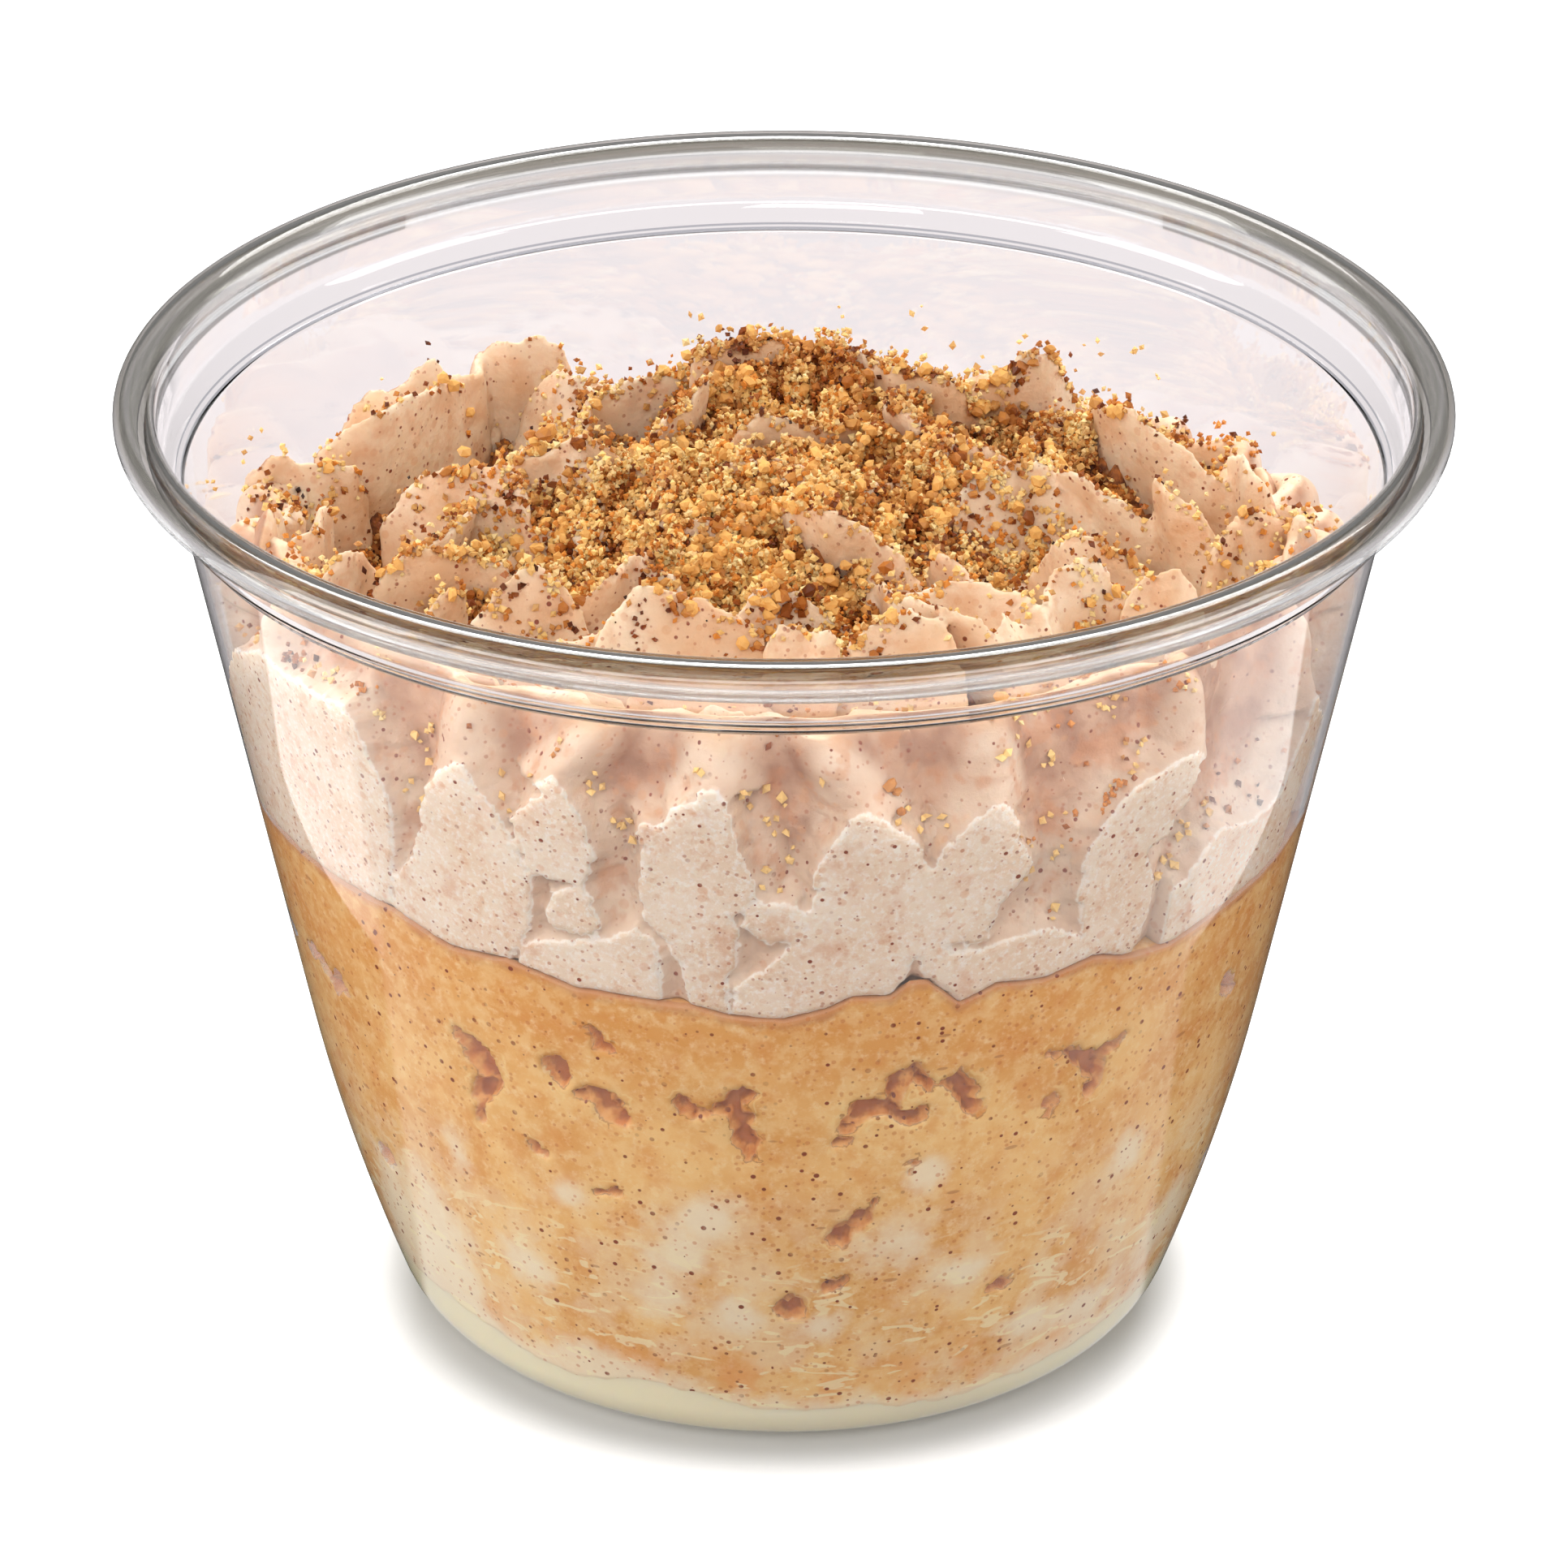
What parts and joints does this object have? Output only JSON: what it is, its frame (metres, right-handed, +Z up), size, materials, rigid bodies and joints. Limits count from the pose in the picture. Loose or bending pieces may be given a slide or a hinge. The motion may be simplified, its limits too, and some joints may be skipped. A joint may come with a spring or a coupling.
{
  "type": "cream topped sponge dessert in a clear cup",
  "caption": "Churro tres leches parfait: soaked sponge under piped cinnamon cream and crumbs, in a clear squat dessert cup with a rolled rim.",
  "frame": {"origin": "middle of the base, on the plane the cup stands on", "axes": "+Z up out of the cup's mouth, -Y to the side that faces the camera, +X to the right as seen from there"},
  "size_m": [0.0982, 0.0982, 0.0744],
  "materials": {
    "clear_plastic": "clear thermoformed sheet, glossy",
    "soaking_milk": "pale sweet milk, wet",
    "soaked_sponge": "soaked golden sponge with cinnamon specks, moist",
    "cinnamon_cream": "whipped cream with cinnamon specks, soft matte"
  },
  "bodies": {
    "root": {"cup": "clear_plastic", "milk_pool": "soaking_milk", "sponge_lower": "soaked_sponge", "sponge_upper": "soaked_sponge", "cinnamon_cream": "cinnamon_cream"}
  },
  "joints": []
}
